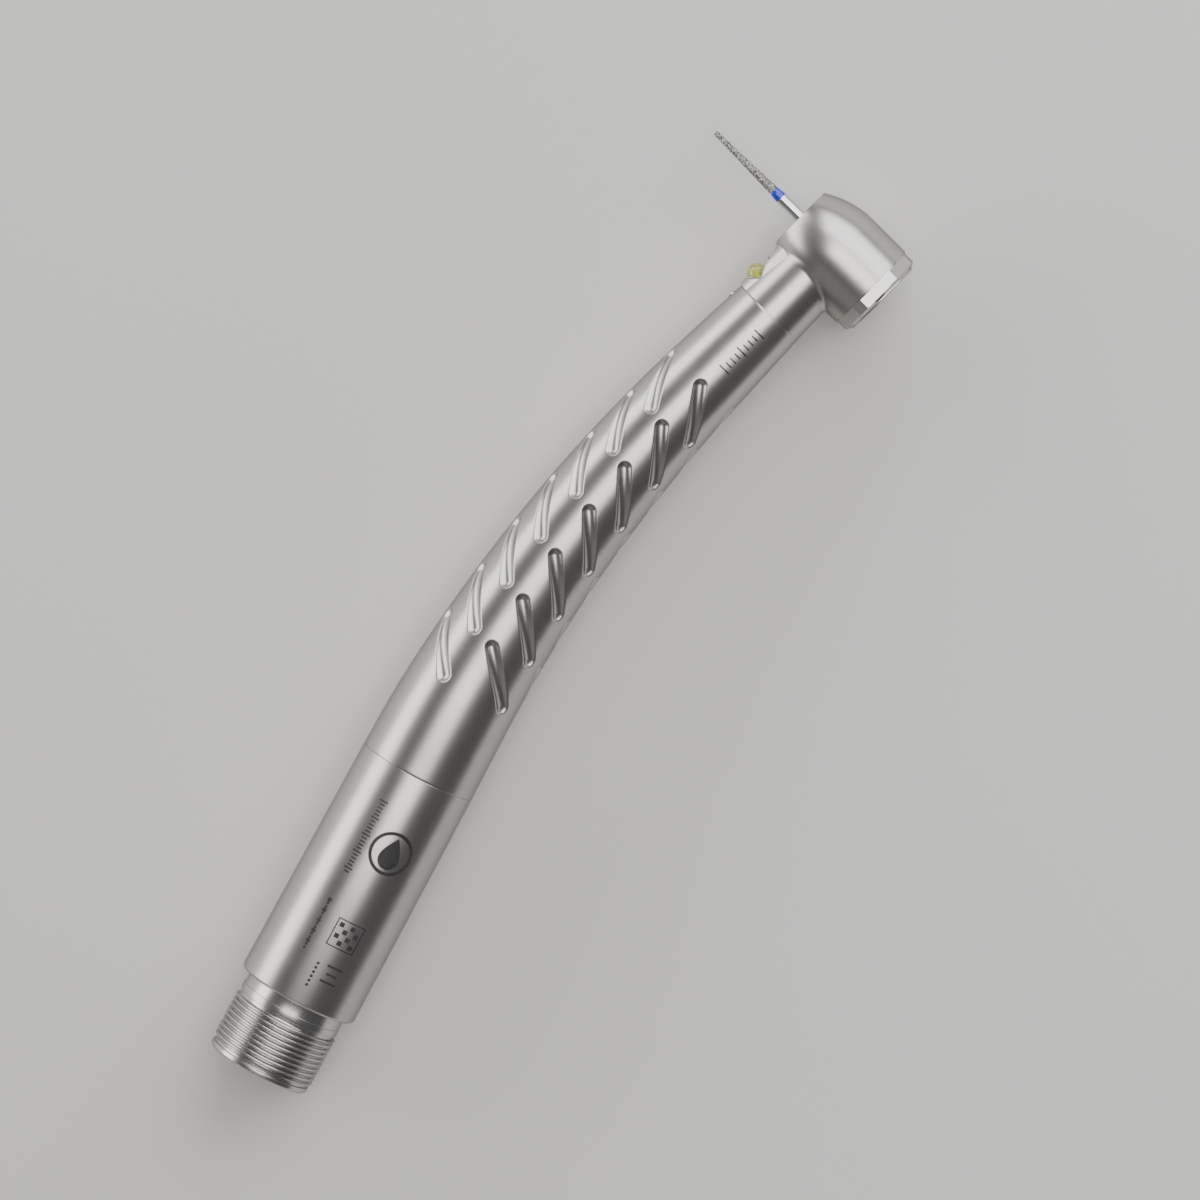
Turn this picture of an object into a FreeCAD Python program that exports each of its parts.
import FreeCAD, Part
import math
import os

from FreeCAD import Matrix, Placement, Vector

# Dental high speed handpiece: an air turbine that spins a bur, on a hollow bent handle.
# Row frame, millimetres: the handpiece lies on its side. +X runs along the rear barrel from the
# hose coupling towards the head, +Y is the side the bur points to, +Z is square to the bend's plane.
# The origin is on the barrel axis, where the hose thread begins at the tail.

# ---- handle: the distance s runs back from the seam between the head casting and the grip ----
S_SHOULDER = 106.7      # rear end of the barrel
S_TAIL = 116.3          # tail end of the hose thread, where x is 0
S_MID_SEAM = 74.0       # seam between the grip sleeve and the rear barrel
S_BEND_START = 12.0     # the handle is straight from the seam to here
S_BEND_END = 70.0       # and straight again from here to the tail
BEND_ANGLE = math.radians(16.4)
BEND_RADIUS = (S_BEND_END - S_BEND_START) / BEND_ANGLE
X_BEND = S_TAIL - S_BEND_END
X_MID_SEAM = S_TAIL - S_MID_SEAM
X_SHOULDER = S_TAIL - S_SHOULDER

# outer radius of the handle at a few stations
GRIP_PROFILE = [(0.0, 4.98), (8.0, 5.36), (20.0, 5.84), (32.0, 6.31), (44.0, 6.74),
                (56.0, 7.22), (66.0, 7.62), (74.0, 7.78)]
BARREL_END_RADIUS = 8.0
GRIP_WALL = 1.25
FRONT_BORE = 4.2        # bore of the grip's front end, over the head casting's spigot
FRONT_BORE_DEPTH = 9.0
BARREL_BORE = 6.9
SPIGOT_RADIUS = 6.85    # the grip's rear spigot inside the barrel
SPIGOT_LENGTH = 6.0
SPIGOT_WALL = 0.75

# grip flutes: ball-milled slots with round ends, in five rows of seven
FLUTE_ROWS = 5
FLUTES_PER_ROW = 7
FLUTE_FIRST = 12.55     # s of the first flute's front centre
FLUTE_PITCH = 7.05
FLUTE_RUN = 6.15        # length along the handle between the end centres
FLUTE_TURN = math.radians(46.5)    # how far each flute goes round the handle
FLUTE_START = math.radians(2.3)
FLUTE_BALL = 1.0
FLUTE_DEPTH = 0.52

# ---- head: h runs from the bur-side face towards the push button, t back along the neck ----
AXIS_AHEAD = 11.3       # turbine axis ahead of the front seam
NECK_HEIGHT = 5.77      # neck axis above the bur-side face
HEAD_RADIUS = 6.25
FACE_RADIUS = 4.26
DOME_HEIGHT = 6.07
DOME_ARC = 13.0         # radius of the dome's flank, which meets the drum in a faint crease
HEAD_TOP = 12.53        # joint between head casting and end cap
CAP_TOP = 14.45
CAP_RADIUS = 6.1
CAP_FLAT_COUNT = 7
CAP_FLAT_DISTANCE = 5.75
BUTTON_TOP = 14.7
BUTTON_RADIUS = 5.28

NECK_FRONT = 3.0        # t where the neck cone starts, inside the head
NECK_FRONT_RADIUS = 4.65
NECK_FILLET = 0.4
# the chin under the neck: two circles with common tangents, and its outline in (t, h) seen from the side
CHIN_BIG = 4.6
CHIN_SMALL = 3.4
CHIN_APART = 2.17
CHIN_OUTLINE = [(4.36, 0.0), (4.96, 0.55), (7.23, 1.12), (8.7, 1.85), (9.1, 1.85), (10.51, 0.5), (12.3, 0.6)]

# light in the chin's notch, and the spray nozzle on its ramp
LED_CENTRE = Vector(8.93, 0.0, 1.11)
LED_TILT = math.radians(21.6)   # turned from the bur's direction towards its tip
LENS_RADIUS = 1.3
LENS_STEM = 0.75
LED_CHIP_RADIUS = 0.5
NOZZLE_SEAT = Vector(6.15, 0.0, 0.84)
NOZZLE_AXIS = Vector(0.24, 0.0, 0.97)
NOZZLE_RADIUS = 0.45

# small screw that pins the grip to the head casting, square to the bur side
SCREW_S = 1.7
SCREW_RADIUS = 0.55
SCREW_DEPTH = 3.9       # its lower end, from the handle's axis
SCREW_PROUD = 0.15

# bearings, 3.175 x 6.35 x 2.38 mm, with 1 mm balls
BEARING_BORE = 1.5875
BEARING_OUTER = 3.175
BEARING_WIDTH = 2.38
BALL_RADIUS = 0.5
BALL_CIRCLE = 2.38
BALL_COUNT = 8
RACE_GROOVE = 0.52
FRONT_BEARING = 1.15
REAR_BEARING = 8.1

IMPELLER_BOTTOM = 3.95
IMPELLER_TOP = 7.65
IMPELLER_RADIUS = 4.7
CHAMBER_RADIUS = 4.95
CHUCK_BORE = 0.815

# bur: 1.6 mm friction-grip shank
SHANK_RADIUS = 0.8
SHANK_INSIDE = 9.6
BAND_TOP = -3.4
BAND_BOTTOM = -4.7
BUR_TIP = -15.15
DIAMOND_TOP_RADIUS = 0.62
DIAMOND_TIP_RADIUS = 0.31

# ---- tubes run parallel to the handle's axis: (offset to the bur side, offset up, outer, bore) ----
DRIVE_TUBE = (0.0, -2.8, 0.95, 0.7)
WATER_TUBE = (-2.9, 0.4, 0.5, 0.3)
CHIP_TUBE = (2.9, 0.4, 0.5, 0.3)
EXHAUST_OFFSET = 3.1
WIRE_RADIUS = 0.25
WIRE_LANES = [(2.2, -0.35), (2.2, -1.0)]

# ---- tail coupling ----
THREAD_RADIUS = 7.05
THREAD_PITCH = 0.7
THREAD_DEPTH = 0.4
THREAD_LENGTH = 6.6
LIP_LENGTH = 1.2
RECESS_RADIUS = 5.7
GASKET_X = (5.0, 6.5)
SPIGOT_TIP_X = 0.0
SPIGOT_ROOT_X = 9.0
PLUG_END_X = 14.2
SPIGOT_COLLAR = 0.3     # each spigot is this much thicker from the gasket inwards
# the four tube spigots: offset to the bur side, offset up, outer and bore radius
SPIGOTS = {
    "exhaust_spigot": (0.0, EXHAUST_OFFSET, 1.55, 1.3),
    "drive_air_spigot": (0.0, -2.8, 1.3, 1.0),
    "water_spigot": (-2.9, 0.4, 0.8, 0.5),
    "chip_air_spigot": (2.9, 0.4, 0.8, 0.5),
}

# ---- light generator, driven by the air on its way to the turbine ----
GENERATOR_AXIS = (0.0, -2.8)
GENERATOR_RADIUS = 3.4
GENERATOR_BORE = 3.0
GENERATOR_X = (PLUG_END_X, 17.2, 33.8)   # rear face, end plate's front face, front face
GENERATOR_SHAFT = 0.5
BUSH_BORE = 0.52


def export(node, shape):
    """Writes one sub-part."""
    if not shape.isValid():
        print("not valid:", node)
    shape.exportStep("parts/" + node + ".step")


# ---- frames ----
def station(s):
    """Point, forward direction and bur-side normal of the handle's axis at distance s."""
    if s >= S_BEND_END:
        return Vector(S_TAIL - s, 0, 0), Vector(1, 0, 0), Vector(0, 1, 0)
    turned = min((S_BEND_END - s) / BEND_RADIUS, BEND_ANGLE)
    forward = Vector(math.cos(turned), -math.sin(turned), 0)
    normal = Vector(math.sin(turned), math.cos(turned), 0)
    point = Vector(X_BEND + BEND_RADIUS * math.sin(turned), BEND_RADIUS * (math.cos(turned) - 1), 0)
    return point + forward * max(S_BEND_START - s, 0), forward, normal


def placement(origin, x_axis, z_axis):
    """Places a shape made about its own origin with the given X and Z directions."""
    y_axis = z_axis.cross(x_axis)
    rows = []
    for axis_index in range(3):
        rows += [x_axis[axis_index], y_axis[axis_index], z_axis[axis_index], origin[axis_index]]
    return Placement(Matrix(*rows, 0, 0, 0, 1))


def handle_point(s, side, up):
    point, _, normal = station(s)
    return point + normal * side + Vector(0, 0, up)


NECK_POINT, NECK_FORWARD, BUR_SIDE = station(-AXIS_AHEAD)
HEAD_FRAME = placement(NECK_POINT + BUR_SIDE * NECK_HEIGHT, -NECK_FORWARD, -BUR_SIDE)


def in_head(shape):
    """Moves a shape from head coordinates (t, -up, h) to the row frame."""
    shape.Placement = HEAD_FRAME.multiply(shape.Placement)
    return shape


def at_barrel(shape, x, side=0.0, up=0.0):
    """Moves a shape made along +Z to lie along +X at x."""
    lying = placement(Vector(x, side, up), Vector(0, 0, -1), Vector(1, 0, 0))
    shape.Placement = lying.multiply(shape.Placement)
    return shape


# ---- plain shapes, all made along +Z ----
def disc(radius, low, high, bore=0.0):
    solid = Part.makeCylinder(radius, high - low, Vector(0, 0, low))
    if bore:
        solid = solid.cut(Part.makeCylinder(bore, high - low + 2, Vector(0, 0, low - 1)))
    return solid


def turned(outline):
    """A solid turned about Z from a closed outline of (radius, height) points."""
    points = [Vector(radius, 0, height) for radius, height in outline]
    face = Part.Face(Part.makePolygon(points + [points[0]]))
    return face.revolve(Vector(0, 0, 0), Vector(0, 0, 1), 360)


def o_ring(circle, section, height):
    return Part.makeTorus(circle, section, Vector(0, 0, height))


def around(shape, count, first=0.0):
    """Copies of a shape turned evenly about Z."""
    copies = []
    for index in range(count):
        copy = shape.copy()
        copy.rotate(Vector(0, 0, 0), Vector(0, 0, 1), first + index * 360.0 / count)
        copies.append(copy)
    return copies


# ---- paths ----
def rounded_path(points, radii):
    """A wire of straight runs with a tangent arc of the given radius at each inner corner."""
    edges = []
    start = points[0]
    for before, corner, after, radius in zip(points, points[1:], points[2:], radii):
        back = (before - corner).normalize()
        ahead = (after - corner).normalize()
        half = back.getAngle(ahead) / 2
        reach = radius / math.tan(half)
        bisector = (back + ahead).normalize()
        middle = corner + bisector * (radius / math.sin(half) - radius)
        enter = corner + back * reach
        leave = corner + ahead * reach
        edges.append(Part.LineSegment(start, enter).toShape())
        edges.append(Part.Arc(enter, middle, leave).toShape())
        start = leave
    edges.append(Part.LineSegment(start, points[-1]).toShape())
    return Part.Wire(edges)


def pipe(path, radius):
    """A round bar along a path."""
    first = path.OrderedEdges[0]
    start = first.valueAt(first.FirstParameter)
    along = first.tangentAt(first.FirstParameter)
    ring = Part.Wire(Part.makeCircle(radius, start, along))
    return path.makePipeShell([ring], True, True)


def handle_path(side, up, rear_x, front_s):
    """The line at a fixed offset from the handle's axis, from rear_x on the barrel to front_s."""
    corner_x = X_BEND + (BEND_RADIUS + side) * math.tan(BEND_ANGLE / 2)
    points = [Vector(rear_x, side, up), Vector(corner_x, side, up), handle_point(front_s, side, up)]
    return rounded_path(points, [BEND_RADIUS + side])


# ---- handle shells ----
def grip_radius(s):
    for (s0, r0), (s1, r1) in zip(GRIP_PROFILE, GRIP_PROFILE[1:]):
        if s <= s1:
            return r0 + (r1 - r0) * (s - s0) / (s1 - s0)
    return GRIP_PROFILE[-1][1]


def grip_loft(shrink, first):
    """The grip's bent conical body, from station first to its rear end."""
    rings = []
    for s, radius in GRIP_PROFILE:
        if s >= first:
            point, forward, _ = station(s)
            rings.append(Part.Wire(Part.makeCircle(radius - shrink, point, forward)))
    return Part.makeLoft(rings, True, False)


def flute_centre(s, angle):
    """Centre of the cutting ball, at the flute's depth in the surface, angle turned from +Z to -Y."""
    reach = grip_radius(s) + FLUTE_BALL - FLUTE_DEPTH
    return handle_point(s, -reach * math.sin(angle), reach * math.cos(angle))


def flute(s, row_angle):
    """The volume a ball end mill sweeps: an arc-shaped bar with round ends."""
    start = row_angle + FLUTE_START
    ends = [flute_centre(s + FLUTE_RUN * share, start + FLUTE_TURN * share) for share in (0.0, 0.5, 1.0)]
    path = Part.Wire(Part.Arc(*ends).toShape())
    balls = [Part.makeSphere(FLUTE_BALL, end) for end in (ends[0], ends[2])]
    return balls[0].multiFuse([pipe(path, FLUTE_BALL), balls[1]])


def grip_sleeve():
    body = grip_loft(0.0, 0.0)
    rear_spigot = at_barrel(disc(SPIGOT_RADIUS, 0, SPIGOT_LENGTH + 0.5), X_MID_SEAM - SPIGOT_LENGTH)
    body = body.fuse(rear_spigot)
    cavity_start = grip_loft(GRIP_WALL, GRIP_PROFILE[1][0])
    front, forward, _ = station(0.0)
    front_bore = Part.makeCylinder(FRONT_BORE, FRONT_BORE_DEPTH, front, -forward)
    rear_bore = disc(SPIGOT_RADIUS - SPIGOT_WALL, -0.5, SPIGOT_LENGTH + 0.5)
    rear_bore = at_barrel(rear_bore, X_MID_SEAM - SPIGOT_LENGTH)
    middle_groove = middle_o_ring()
    screw_seat, screw_axis = lock_screw_seat()
    screw_hole = Part.makeCylinder(SCREW_RADIUS, 6.0, screw_seat, screw_axis)
    body = body.cut(cavity_start.multiFuse([front_bore, rear_bore])).cut([middle_groove, screw_hole])
    flutes = []
    for row in range(FLUTE_ROWS):
        for index in range(FLUTES_PER_ROW):
            flutes.append(flute(FLUTE_FIRST + index * FLUTE_PITCH, row * 2 * math.pi / FLUTE_ROWS))
    return body.cut(flutes)


def middle_o_ring():
    return at_barrel(o_ring(SPIGOT_RADIUS - 0.15, 0.2, 2.2), X_MID_SEAM - SPIGOT_LENGTH)


def rear_barrel():
    length = X_MID_SEAM - X_SHOULDER
    chamfer = 0.3
    return at_barrel(turned([
        (BARREL_BORE, 0), (BARREL_END_RADIUS - chamfer, 0), (BARREL_END_RADIUS, chamfer),
        (GRIP_PROFILE[-1][1], length), (BARREL_BORE, length)]), X_SHOULDER)


def lock_screw_seat():
    """Bottom and direction of the small screw that pins the grip to the head casting."""
    point, _, normal = station(SCREW_S)
    return point + normal * SCREW_DEPTH, normal


def lock_screw():
    seat, normal = lock_screw_seat()
    top = grip_radius(SCREW_S) + SCREW_PROUD - SCREW_DEPTH
    screw = Part.makeCylinder(SCREW_RADIUS, top, seat, normal)
    slot = Part.makeBox(0.2, 2.0, 0.3, Vector(-0.1, -1.0, top - 0.25))
    slot.Placement = placement(seat, Vector(0, 0, 1), normal).multiply(slot.Placement)
    return screw.cut(slot)


def tube_spacer(s, thickness=1.5):
    """A disc that holds the tubes and wires apart, with windows for the exhaust air."""
    radius = grip_radius(s) - GRIP_WALL - 0.1
    plate = disc(radius, 0, thickness)
    holes = [(side, up, outer + 0.05) for side, up, outer, _ in (DRIVE_TUBE, WATER_TUBE, CHIP_TUBE)]
    holes += [(side, up, WIRE_RADIUS + 0.03) for side, up in WIRE_LANES]
    holes += [(0.0, 2.4, 1.3), (-2.0, -1.6, 0.6)]
    for side, up, hole in holes:
        plate = plate.cut(Part.makeCylinder(hole, thickness + 2, Vector(-up, side, -1)))
    point, forward, _ = station(s)
    plate.Placement = placement(point, Vector(0, 0, -1), forward)
    return plate


# ---- head casting ----
def chin_prism():
    """Two circles and their common tangents, drawn out along t: the rounded chin under the neck."""
    lean = math.acos((CHIN_BIG - CHIN_SMALL) / CHIN_APART)
    big_side = CHIN_BIG * math.sin(lean)
    big_h = NECK_HEIGHT - CHIN_BIG * math.cos(lean)
    small_side = CHIN_SMALL * math.sin(lean)
    small_h = NECK_HEIGHT - CHIN_APART - CHIN_SMALL * math.cos(lean)
    big_left = Vector(NECK_FRONT, -big_side, big_h)
    big_top = Vector(NECK_FRONT, 0, NECK_HEIGHT + CHIN_BIG)
    big_right = Vector(NECK_FRONT, big_side, big_h)
    small_right = Vector(NECK_FRONT, small_side, small_h)
    small_bottom = Vector(NECK_FRONT, 0, NECK_HEIGHT - CHIN_APART - CHIN_SMALL)
    small_left = Vector(NECK_FRONT, -small_side, small_h)
    edges = [
        Part.Arc(big_left, big_top, big_right).toShape(),
        Part.LineSegment(big_right, small_right).toShape(),
        Part.Arc(small_right, small_bottom, small_left).toShape(),
        Part.LineSegment(small_left, big_left).toShape(),
    ]
    return Part.Face(Part.Wire(edges)).extrude(Vector(AXIS_AHEAD - NECK_FRONT, 0, 0))


def along_neck(radius, low_t, high_t, side=0.0, up=0.0):
    """A bar parallel to the neck axis between two t values; side is towards the bur."""
    return Part.makeCylinder(radius, high_t - low_t, Vector(low_t, -up, NECK_HEIGHT - side), Vector(1, 0, 0))


def head_outside():
    start = Vector(FACE_RADIUS, 0, 0)
    end = Vector(HEAD_RADIUS, 0, DOME_HEIGHT)
    chord = end - start
    outwards = Vector(chord.z, 0, -chord.x).normalize()
    bulge = DOME_ARC - math.sqrt(DOME_ARC ** 2 - (chord.Length / 2) ** 2)
    middle = (start + end) * 0.5 + outwards * bulge
    top = Vector(HEAD_RADIUS, 0, HEAD_TOP)
    edges = [
        Part.LineSegment(Vector(0, 0, 0), start).toShape(),
        Part.Arc(start, middle, end).toShape(),
        Part.LineSegment(end, top).toShape(),
        Part.LineSegment(top, Vector(0, 0, HEAD_TOP)).toShape(),
        Part.LineSegment(Vector(0, 0, HEAD_TOP), Vector(0, 0, 0)).toShape(),
    ]
    dome = Part.Face(Part.Wire(edges)).revolve(Vector(0, 0, 0), Vector(0, 0, 1), 360)
    neck = Part.makeCone(NECK_FRONT_RADIUS, GRIP_PROFILE[0][1], AXIS_AHEAD - NECK_FRONT,
                         Vector(NECK_FRONT, 0, NECK_HEIGHT), Vector(1, 0, 0))
    outside = dome.fuse(neck)
    joint_edges = []
    for edge in outside.Edges:
        middle_point = edge.valueAt((edge.FirstParameter + edge.LastParameter) / 2)
        on_neck = abs(math.hypot(middle_point.y, middle_point.z - NECK_HEIGHT) - 4.75) < 0.25
        if on_neck and 3.1 < middle_point.x < 7.5:
            joint_edges.append(edge)
    outside = outside.makeFillet(NECK_FILLET, joint_edges)
    below = [(CHIN_OUTLINE[-1][0], -2.0), (CHIN_OUTLINE[0][0], -2.0)]
    points = [Vector(t, -6.0, h) for t, h in CHIN_OUTLINE + below]
    clearing = Part.Face(Part.makePolygon(points + [points[0]])).extrude(Vector(0, 12.0, 0))
    face_clearing = Part.makeBox(12, 12, 3, Vector(-6, -6, -3))
    return outside.fuse(chin_prism()).cut(clearing.fuse(face_clearing)).removeSplitter()


def led_frame():
    """The light's seat: centre of the lens, Z pointing out towards the bur's tip."""
    out = Vector(-math.sin(LED_TILT), 0, -math.cos(LED_TILT))
    return placement(LED_CENTRE, Vector(0, 1, 0), out)


def at_led(shape):
    shape.Placement = led_frame().multiply(shape.Placement)
    return shape


def bearing_o_ring(low):
    return o_ring(BEARING_OUTER + 0.2, 0.35, low + BEARING_WIDTH / 2)


def neck_o_ring():
    return Part.makeTorus(FRONT_BORE - 0.15, 0.25, Vector(AXIS_AHEAD + 6.0, 0, NECK_HEIGHT), Vector(1, 0, 0))


def head_housing():
    spigot = along_neck(FRONT_BORE - 0.05, AXIS_AHEAD - 0.5, AXIS_AHEAD + 8.0)
    body = head_outside().fuse(spigot)
    drive_side, drive_up, drive_radius, drive_bore = DRIVE_TUBE
    end_t = AXIS_AHEAD + 9.0
    cuts = [
        disc(5.4, 8.0, HEAD_TOP + 1),
        disc(CHAMBER_RADIUS, FRONT_BEARING + BEARING_WIDTH, 8.5),
        disc(BEARING_OUTER, 0.9, 4.0),
        disc(1.75, -1.0, 1.0),
        bearing_o_ring(FRONT_BEARING),
        neck_o_ring(),
        along_neck(drive_radius, AXIS_AHEAD - 1.0, end_t, drive_side, drive_up),
        along_neck(drive_bore, 3.8, AXIS_AHEAD, drive_side, drive_up),
        along_neck(1.2, 4.2, end_t, 0.0, 2.6),
    ]
    for side, up, outer, bore in (WATER_TUBE, CHIP_TUBE):
        cuts.append(along_neck(outer, AXIS_AHEAD + 2.0, end_t, side, up))
        cuts.append(along_neck(bore, 6.4, AXIS_AHEAD + 3.0, side, up))
    # cross drilling that joins the water and chip air lines below the spray nozzle
    cuts.append(Part.makeCylinder(0.35, 6.2, Vector(6.6, -0.4, 2.6), Vector(0, 0, 1)))
    cuts.append(Part.makeCylinder(NOZZLE_RADIUS, 2.4, NOZZLE_SEAT - NOZZLE_AXIS * 0.5, NOZZLE_AXIS))
    cuts.append(at_led(disc(LENS_STEM + 0.02, -1.2, 0.5)))
    cuts.append(at_led(disc(LENS_RADIUS + 0.04, -0.05, 3.0)))
    cuts.append(Part.makeBox(1.6, 1.6, 2.2, Vector(8.2, 0.0, 1.9)))
    for side, up in WIRE_LANES:
        cuts.append(along_neck(WIRE_RADIUS + 0.03, 8.3, end_t, side, up))
    screw_end = Vector(AXIS_AHEAD + SCREW_S, 0, NECK_HEIGHT - SCREW_DEPTH)
    cuts.append(Part.makeCylinder(SCREW_RADIUS, 3.0, screw_end, Vector(0, 0, -1)))
    return in_head(body.cut(cuts))


def end_cap():
    """Screwed into the head over the rear bearing; its rim has flats for a spanner."""
    body = turned([
        (2.6, 10.5), (3.8, 10.5), (3.8, 8.15), (5.35, 8.15), (5.35, HEAD_TOP), (CAP_RADIUS, HEAD_TOP),
        (CAP_RADIUS, CAP_TOP - 0.35), (5.5, CAP_TOP), (BUTTON_RADIUS + 0.05, CAP_TOP),
        (BUTTON_RADIUS + 0.05, 13.0), (4.45, 13.0), (4.45, 12.7), (4.75, 12.7), (4.75, 10.9), (2.6, 10.9)])
    seat = turned([(BEARING_OUTER, 8.15), (3.85, 8.15), (3.85, 10.55), (BEARING_OUTER, 10.55)])
    body = body.fuse(seat).cut(bearing_o_ring(REAR_BEARING))
    low = HEAD_TOP + 0.16
    flat = Part.makeBox(2.0, 8.0, CAP_TOP - low + 1, Vector(CAP_FLAT_DISTANCE, -4.0, low))
    # the first flat faces +Z, which is -Y in head coordinates
    return in_head(body.cut(around(flat, CAP_FLAT_COUNT, -90.0)))


def push_button():
    """Pressed disc with a hollow skirt that hooks under the cap, and a middle post."""
    skirt = turned([
        (4.0, 12.35), (4.6, 12.35), (4.6, 12.6), (4.4, 12.6), (4.4, 13.85), (BUTTON_RADIUS, 13.85),
        (BUTTON_RADIUS, BUTTON_TOP - 0.2), (BUTTON_RADIUS - 0.2, BUTTON_TOP), (0, BUTTON_TOP),
        (0, 11.7), (1.0, 11.7), (1.0, 13.75), (4.0, 13.75)])
    return in_head(skirt)


def button_spring():
    """Stack of cone springs between the cap's floor and the button, set base to base."""
    inner, outer, thick, rise = 2.6, 3.9, 0.15, 0.32
    cones = []
    for index in range(6):
        low = 10.91 + index * (thick + rise)
        first, last = (low, low + rise) if index % 2 else (low + rise, low)
        cones.append(turned([(inner, first), (outer, last), (outer, last + thick), (inner, first + thick)]))
    return in_head(Part.makeCompound(cones))


def bearing(low):
    """Inner race, outer race, cage, balls and shield of one bearing that starts at height low."""
    middle = low + BEARING_WIDTH / 2
    high = low + BEARING_WIDTH
    groove = o_ring(BALL_CIRCLE, RACE_GROOVE, middle)
    inner = disc(2.0, low, high, BEARING_BORE).cut(groove)
    outer = disc(BEARING_OUTER, low, high, 2.78).cut(groove)
    outer = outer.cut(disc(2.95, low - 0.1, low + 0.15))
    shield = disc(2.95, low, low + 0.15, 2.06)
    pocket = Part.makeCylinder(BALL_RADIUS + 0.03, 2.0, Vector(1.5, 0, middle), Vector(1, 0, 0))
    cage = disc(2.71, middle - 0.7, middle + 0.7, 2.12).cut(around(pocket, BALL_COUNT))
    ball = Part.makeSphere(BALL_RADIUS, Vector(BALL_CIRCLE, 0, middle))
    balls = Part.makeCompound(around(ball, BALL_COUNT))
    return {"inner_race": inner, "outer_race": outer, "cage": cage, "balls": balls, "shield": shield}


def vane_wheel(bore, hub, tip, low, high, count, thickness):
    """A hub with scoop-shaped vanes, each between two arcs."""
    root = math.sqrt(hub ** 2 - thickness ** 2) - 0.05
    outer_end = math.sqrt(tip ** 2 - thickness ** 2)
    bow = (tip - hub) * 0.28
    middle = (root + outer_end) / 2
    front = Part.Arc(Vector(root, 0, low), Vector(middle, bow, low), Vector(outer_end, 0, low))
    back = Part.Arc(Vector(outer_end, thickness, low), Vector(middle, bow + thickness, low),
                    Vector(root, thickness, low))
    sides = [Part.LineSegment(Vector(outer_end, 0, low), Vector(outer_end, thickness, low)),
             Part.LineSegment(Vector(root, thickness, low), Vector(root, 0, low))]
    outline = Part.Wire([front.toShape(), sides[0].toShape(), back.toShape(), sides[1].toShape()])
    vane = Part.Face(outline).extrude(Vector(0, 0, high - low))
    wheel = disc(hub, low, high).multiFuse(around(vane, count))
    return wheel.cut(disc(bore, low - 1, high + 1))


def spindle():
    shaft = disc(BEARING_BORE, 0.15, 11.0, 1.25)
    return in_head(shaft)


def chuck():
    """Collet sleeve: a bore for the bur's shank and three slits at its rear."""
    sleeve = disc(1.25, 0.3, 10.0, CHUCK_BORE)
    slit = Part.makeBox(2.0, 0.16, 5.0, Vector(0.3, -0.08, 5.2))
    return in_head(sleeve.cut(around(slit, 3)))


def chuck_release_pin():
    return in_head(turned([(0, 10.55), (0.9, 10.55), (1.2, 10.75), (1.2, 11.2), (1.05, 11.35), (0, 11.35)]))


def bur():
    """Steel shank with a tapered core, a colour band, and the diamond-plated working end."""
    coat = 0.12
    band = 0.04
    core = turned([
        (0, BUR_TIP + coat), (DIAMOND_TIP_RADIUS - coat, BUR_TIP + coat),
        (DIAMOND_TOP_RADIUS - coat, BAND_BOTTOM), (DIAMOND_TOP_RADIUS - band, BAND_BOTTOM),
        (SHANK_RADIUS - band, BAND_TOP), (SHANK_RADIUS, BAND_TOP),
        (SHANK_RADIUS, SHANK_INSIDE - 0.2), (SHANK_RADIUS - 0.2, SHANK_INSIDE), (0, SHANK_INSIDE)])
    ring = turned([
        (DIAMOND_TOP_RADIUS - band, BAND_BOTTOM), (DIAMOND_TOP_RADIUS, BAND_BOTTOM),
        (SHANK_RADIUS, BAND_TOP), (SHANK_RADIUS - band, BAND_TOP)])
    diamond = turned([
        (0, BUR_TIP), (DIAMOND_TIP_RADIUS - 0.06, BUR_TIP), (DIAMOND_TIP_RADIUS, BUR_TIP + 0.06),
        (DIAMOND_TOP_RADIUS, BAND_BOTTOM), (DIAMOND_TOP_RADIUS - coat, BAND_BOTTOM),
        (DIAMOND_TIP_RADIUS - coat, BUR_TIP + coat), (0, BUR_TIP + coat)])
    return {"bur_shank": core, "bur_colour_band": ring, "bur_diamond_coat": diamond}


def led_parts():
    """Lens, chip and base of the light, stacked in the chin's seat."""
    dome = Part.makeSphere(LENS_RADIUS).common(disc(2.0, 0.0, 2.0))
    stem = disc(LENS_STEM, -0.6, 0.0)
    hollow = disc(LED_CHIP_RADIUS + 0.02, -0.7, -0.1)
    lens = dome.fuse(stem).cut(hollow)
    chip = disc(LED_CHIP_RADIUS, -0.6, -0.25)
    base = disc(LENS_STEM, -1.15, -0.6)
    return {"led_lens": at_led(lens), "led_chip": at_led(chip), "led_base": at_led(base)}


def led_wires():
    """Two insulated leads from the board to the light."""
    leads = []
    start_sides = (0.8, 1.8)
    rise_ts = (8.75, 9.3)
    for (side, up), start_side, rise_t in zip(WIRE_LANES, start_sides, rise_ts):
        rise_s = AXIS_AHEAD - rise_t
        corner_x = X_BEND + (BEND_RADIUS + side) * math.tan(BEND_ANGLE / 2)
        points = [
            Vector(31.0, start_side, 2.93), Vector(34.5, start_side, 2.93), Vector(40.0, side, up),
            Vector(corner_x, side, up), handle_point(-rise_s, side, up), handle_point(-rise_s, 3.2, up)]
        leads.append(pipe(rounded_path(points, [1.5, 1.5, BEND_RADIUS + side, 0.45]), WIRE_RADIUS))
    return Part.makeCompound(leads)


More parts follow.
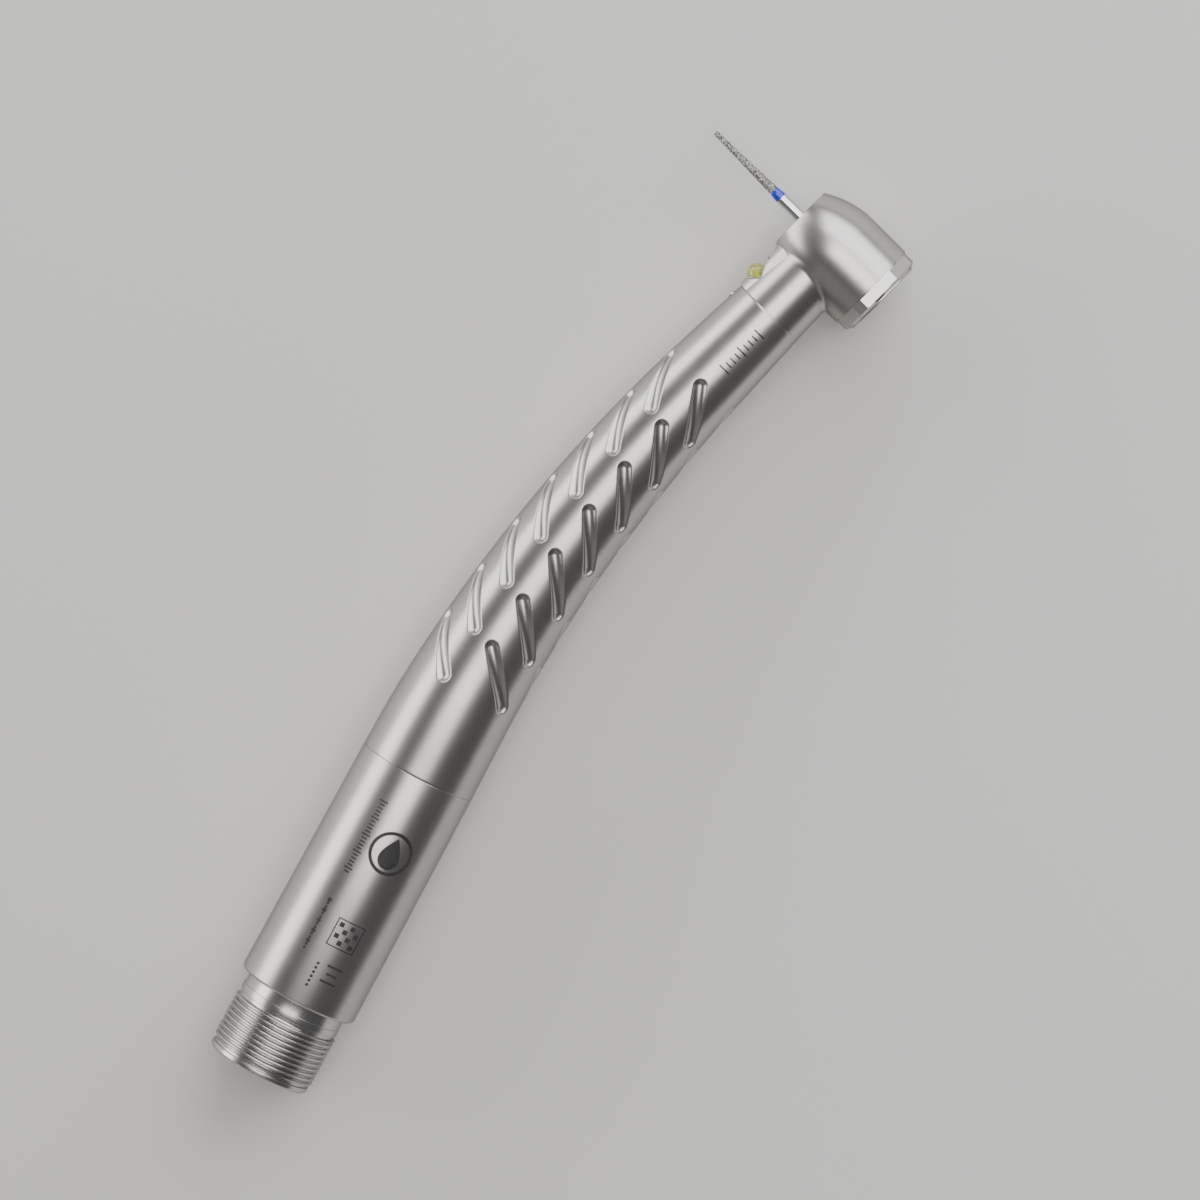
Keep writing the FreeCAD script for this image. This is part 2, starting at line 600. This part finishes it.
# ---- tail ----
def thread_groove():
    """The helical V-groove that leaves the thread's crests standing."""
    low = LIP_LENGTH - THREAD_PITCH
    helix = Part.Wire(Part.makeHelix(THREAD_PITCH, THREAD_LENGTH + THREAD_PITCH, THREAD_RADIUS).Edges)
    half = THREAD_PITCH * 0.43
    outline = [Vector(THREAD_RADIUS + 0.05, 0, -half), Vector(THREAD_RADIUS - THREAD_DEPTH, 0, -0.03),
               Vector(THREAD_RADIUS - THREAD_DEPTH, 0, 0.03), Vector(THREAD_RADIUS + 0.05, 0, half)]
    sweep = Part.BRepOffsetAPI.MakePipeShell(helix)
    sweep.setFrenetMode(True)
    sweep.add(Part.makePolygon(outline + [outline[0]]))
    sweep.build()
    sweep.makeSolid()
    groove = sweep.shape()
    groove.translate(Vector(0, 0, low))
    return groove


def tail_connector():
    thread_end = LIP_LENGTH + THREAD_LENGTH
    shoulder = X_SHOULDER + LIP_LENGTH
    plug_end = PLUG_END_X + LIP_LENGTH
    lip = THREAD_RADIUS - 0.17
    root = THREAD_RADIUS - THREAD_DEPTH - 0.05
    body = turned([
        (0, 0), (lip - 0.25, 0), (lip, 0.25), (lip, 0.75), (root, 0.85), (root, LIP_LENGTH - 0.1),
        (THREAD_RADIUS, LIP_LENGTH), (THREAD_RADIUS, thread_end), (root, thread_end + 0.1),
        (root, thread_end + 0.45),
        (6.85, thread_end + 0.5), (6.85, thread_end + 1.4), (6.75, thread_end + 1.4),
        (6.75, shoulder), (BARREL_BORE - 0.02, shoulder), (BARREL_BORE - 0.02, plug_end), (0, plug_end)])
    body = body.cut(thread_groove())
    recess = disc(RECESS_RADIUS, -1.0, GASKET_X[1] + LIP_LENGTH)
    ring_groove = o_ring(BARREL_BORE - 0.15, 0.2, shoulder + 2.4)
    cuts = [recess, ring_groove]
    for side, up, outer, bore in SPIGOTS.values():
        centre = Vector(-up, side, 0)
        seat = outer + SPIGOT_COLLAR
        cuts.append(Part.makeCylinder(seat, SPIGOT_ROOT_X + LIP_LENGTH + 1, centre - Vector(0, 0, 1)))
        cuts.append(Part.makeCylinder(bore, plug_end + 2, centre - Vector(0, 0, 1)))
    return at_barrel(body.cut(cuts), -LIP_LENGTH)


def hose_gasket():
    plate = disc(RECESS_RADIUS - 0.05, GASKET_X[0], GASKET_X[1])
    for side, up, outer, _ in SPIGOTS.values():
        plate = plate.cut(Part.makeCylinder(outer + SPIGOT_COLLAR, 20.0, Vector(-up, side, 0)))
    return at_barrel(plate, 0.0)


def tube_spigot(side, up, outer, bore):
    collar = outer + SPIGOT_COLLAR
    tube = turned([
        (bore, SPIGOT_TIP_X), (outer, SPIGOT_TIP_X), (outer, GASKET_X[0]), (collar, GASKET_X[0]),
        (collar, SPIGOT_ROOT_X), (bore, SPIGOT_ROOT_X)])
    return at_barrel(tube, 0.0, side, up)


def non_return_valve():
    """Rubber duckbill that stops water running back, inside the water spigot."""
    side, up, _, bore = SPIGOTS["water_spigot"]
    bill = turned([(0, 4.6), (0, 2.0), (bore, 2.0), (bore, 3.2), (0.15, 4.6)])
    return at_barrel(bill.cut(disc(0.2, 1.0, 3.4)), 0.0, side, up)


def hollow_tube(tube, rear_x, front_s):
    side, up, outer, bore = tube
    path = handle_path(side, up, rear_x, front_s)
    return pipe(path, outer).cut(pipe(path, bore))


# ---- generator ----
def at_generator(shape):
    return at_barrel(shape, 0.0, *GENERATOR_AXIS)


def generator_parts():
    rear, plate_front, front = GENERATOR_X
    wall_rear = front - 4.0
    bushes = []
    for low in (plate_front - 1.5, wall_rear):
        bushes.append(disc(1.0, low, low + 1.4, BUSH_BORE))
    end_plate = disc(GENERATOR_RADIUS, rear, plate_front).cut(disc(2.5, rear - 1, rear + 1.0))
    end_plate = end_plate.cut(disc(1.0, plate_front - 1.5, plate_front + 1))
    jet = Part.makeCylinder(0.45, 6.0, Vector(1.9, 0, rear - 1))
    end_plate = end_plate.cut(around(jet, 3))
    housing = disc(GENERATOR_RADIUS, plate_front, front).cut(disc(GENERATOR_BORE, plate_front - 1, wall_rear))
    housing = housing.cut(disc(1.0, wall_rear - 0.1, wall_rear + 1.4))
    housing = housing.cut(disc(2.6, front - 1.8, front - 1.0))
    housing = housing.cut(disc(DRIVE_TUBE[2], front - 1.0, front + 1))
    passage = Part.makeCylinder(0.55, 3.2, Vector(1.85, 0, wall_rear - 0.5))
    housing = housing.cut(around(passage, 3))
    shaft = disc(GENERATOR_SHAFT, plate_front - 1.3, wall_rear + 1.2)
    wheel = vane_wheel(GENERATOR_SHAFT, 1.0, 2.6, plate_front + 0.6, plate_front + 2.6, 6, 0.25)
    magnet = disc(1.5, plate_front + 3.6, wall_rear - 2.0, GENERATOR_SHAFT)
    coil_low = plate_front + 3.9
    coil_high = wall_rear - 2.3
    coil = disc(2.35, coil_low, coil_high, 1.75)
    core = disc(GENERATOR_BORE, coil_low + 0.4, coil_high - 0.4, 2.35)
    return {
        "generator_end_plate": at_generator(end_plate),
        "generator_housing": at_generator(housing),
        "generator_bushes": at_generator(Part.makeCompound(bushes)),
        "generator_shaft": at_generator(shaft),
        "generator_air_wheel": at_generator(wheel),
        "generator_magnet": at_generator(magnet),
        "generator_coil": at_generator(coil),
        "generator_core": at_generator(core),
    }


def board_parts():
    """Rectifier board that smooths the generator's current, on a moulded carrier."""
    length_x = (18.0, 32.0)
    top = 3.8
    board = Part.makeBox(length_x[1] - length_x[0], 6.8, 0.6, Vector(length_x[0], -3.4, top - 0.6))
    rectifier = Part.makeBox(3.5, 3.0, 1.1, Vector(20.0, -1.5, top))
    capacitor = at_barrel(disc(1.1, 25.5, 30.5), 0.0, 0.0, top + 1.1)
    web = Part.makeBox(10.0, 1.0, top - 0.6, Vector(19.0, -0.5, 0.0))
    carrier = web.cut(at_generator(disc(GENERATOR_RADIUS, 10.0, 40.0)))
    return {"rectifier_board": board, "bridge_rectifier": rectifier, "smoothing_capacitor": capacitor,
            "board_carrier": carrier}


def main():
    os.makedirs("parts", exist_ok=True)
    export("grip_sleeve", grip_sleeve())
    export("rear_barrel", rear_barrel())
    export("sleeve_lock_screw", lock_screw())
    export("head_housing", head_housing())
    export("end_cap", end_cap())
    export("push_button", push_button())
    export("button_spring", button_spring())
    for name, low in (("front", FRONT_BEARING), ("rear", REAR_BEARING)):
        for piece, shape in bearing(low).items():
            export(name + "_bearing_" + piece, in_head(shape))
        squeezed = bearing_o_ring(low).cut(disc(BEARING_OUTER, low - 1, low + 4))
        export(name + "_bearing_o_ring", in_head(squeezed))
    washer = turned([(2.3, 0.9), (3.1, 1.03), (3.1, FRONT_BEARING), (2.3, 1.02)])
    export("preload_washer", in_head(washer))
    export("spindle", spindle())
    export("impeller", in_head(vane_wheel(BEARING_BORE, 2.3, IMPELLER_RADIUS, IMPELLER_BOTTOM,
                                          IMPELLER_TOP, 8, 0.35)))
    export("chuck_collet", chuck())
    export("chuck_release_pin", chuck_release_pin())
    for node, shape in list(bur().items()) + list(led_parts().items()):
        export(node, in_head(shape))
    export("led_wires", led_wires())
    nozzle = Part.makeCylinder(NOZZLE_RADIUS, 1.0, NOZZLE_SEAT, NOZZLE_AXIS)
    jet_hole = Part.makeCylinder(0.18, 3.0, NOZZLE_SEAT - NOZZLE_AXIS, NOZZLE_AXIS)
    export("spray_nozzle", in_head(nozzle.cut(jet_hole)))
    squeezed = neck_o_ring().common(along_neck(FRONT_BORE, AXIS_AHEAD, AXIS_AHEAD + 9.0))
    export("neck_o_ring", in_head(squeezed))
    export("middle_o_ring", middle_o_ring())
    tail_ring = o_ring(BARREL_BORE - 0.15, 0.2, X_SHOULDER + 2.4).common(disc(BARREL_BORE, 0, 40))
    export("tail_o_ring", at_barrel(tail_ring, 0.0))
    export("drive_air_tube", hollow_tube(DRIVE_TUBE, GENERATOR_X[2] - 1.0, -1.0))
    export("water_tube", hollow_tube(WATER_TUBE, 7.0, 2.0))
    export("chip_air_tube", hollow_tube(CHIP_TUBE, 7.0, 2.0))
    export("front_tube_spacer", tube_spacer(22.0))
    export("rear_tube_spacer", tube_spacer(64.0))
    export("tail_connector", tail_connector())
    export("hose_gasket", hose_gasket())
    for node, sizes in SPIGOTS.items():
        export(node, tube_spigot(*sizes))
    export("non_return_valve", non_return_valve())
    for node, shape in generator_parts().items():
        export(node, shape)
    for node, shape in board_parts().items():
        export(node, shape)


main()
